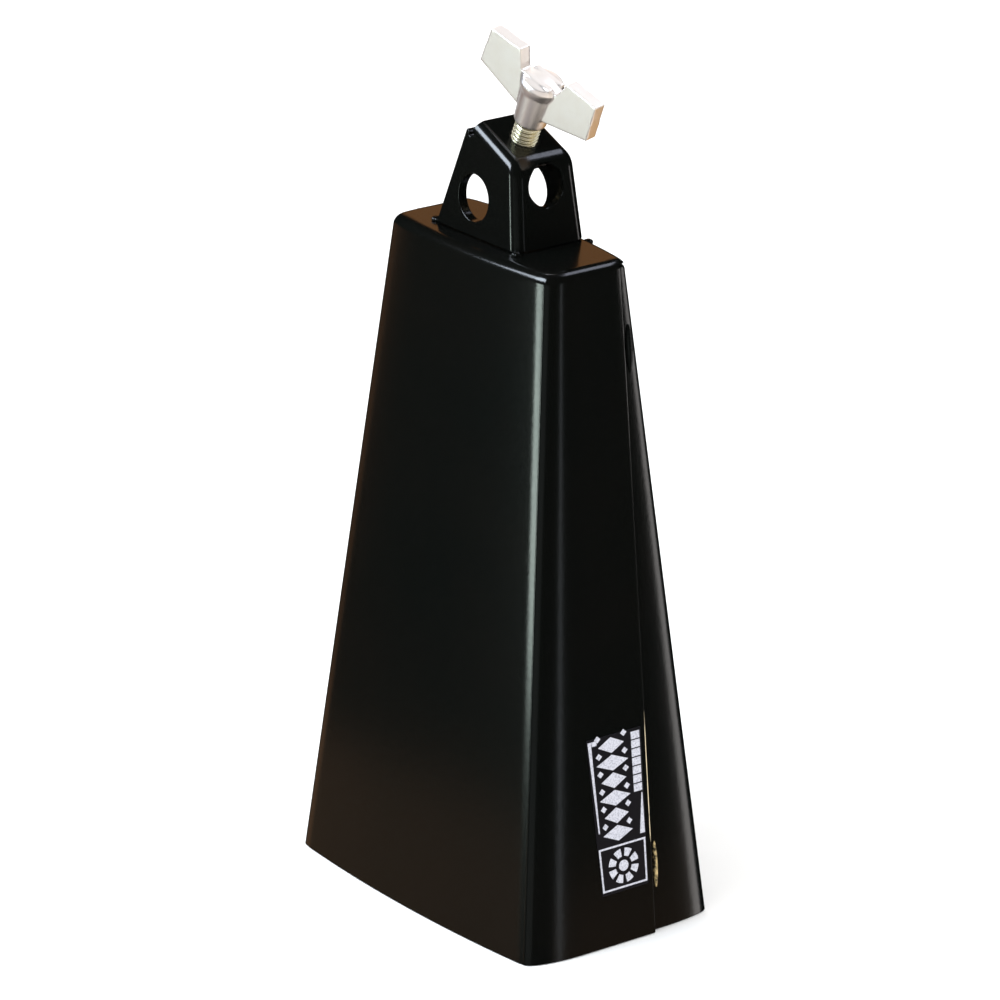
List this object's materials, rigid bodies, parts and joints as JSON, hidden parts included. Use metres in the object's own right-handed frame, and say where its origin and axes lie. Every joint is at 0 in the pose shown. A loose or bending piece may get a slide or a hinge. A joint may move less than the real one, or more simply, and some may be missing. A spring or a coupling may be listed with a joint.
{
  "type": "cowbell",
  "caption": "Hand-played tapered bell of folded black sheet steel with a welded rod bracket and a wing screw that clamps it to a rod.",
  "frame": {"origin": "centre of the open mouth, in the plane of its rim", "axes": "+Z from the mouth to the closed top, +X across the broad faces towards the bracket's heel, -Y out of the face that is struck"},
  "size_m": [0.119, 0.0746, 0.2651],
  "materials": {
    "black_coat": "gloss black baked coat with a fine orange-peel grain",
    "label_print": "pale printed label film",
    "stud_plate": "bright zinc-plated thread",
    "head_plate": "satin nickel-plated casting"
  },
  "bodies": {
    "bell": {"front_shell": "black_coat", "back_shell": "black_coat", "seam_weld_right_lower": "black_coat", "seam_weld_right_upper": "black_coat", "seam_weld_left_lower": "black_coat", "seam_weld_left_upper": "black_coat", "rod_bracket": "black_coat", "bracket_weld_front_toe": "black_coat", "bracket_weld_front_heel": "black_coat", "bracket_weld_rear_toe": "black_coat", "bracket_weld_rear_heel": "black_coat", "side_label": "label_print"},
    "clamp_stud_body": {"clamp_stud": "stud_plate"},
    "wing_head_body": {"wing_head": "head_plate"}
  },
  "joints": [
    {"name": "stud_advance", "type": "slide", "parent": "bell", "child": "clamp_stud_body", "axis": [0.4115, 0, 0.9114], "range_m": [-0.0057, 0.0077]},
    {"name": "wing_turn", "type": "hinge", "parent": "clamp_stud_body", "child": "wing_head_body", "pos_m": [0.0033, 0.0029, 0.2328], "axis": [0.4115, 0, 0.9114], "range_deg": [-1620, 2160]}
  ],
  "couplings": [
    {"joint": "stud_advance", "follows": "wing_turn", "m_per_rad": 0.00019894}
  ]
}
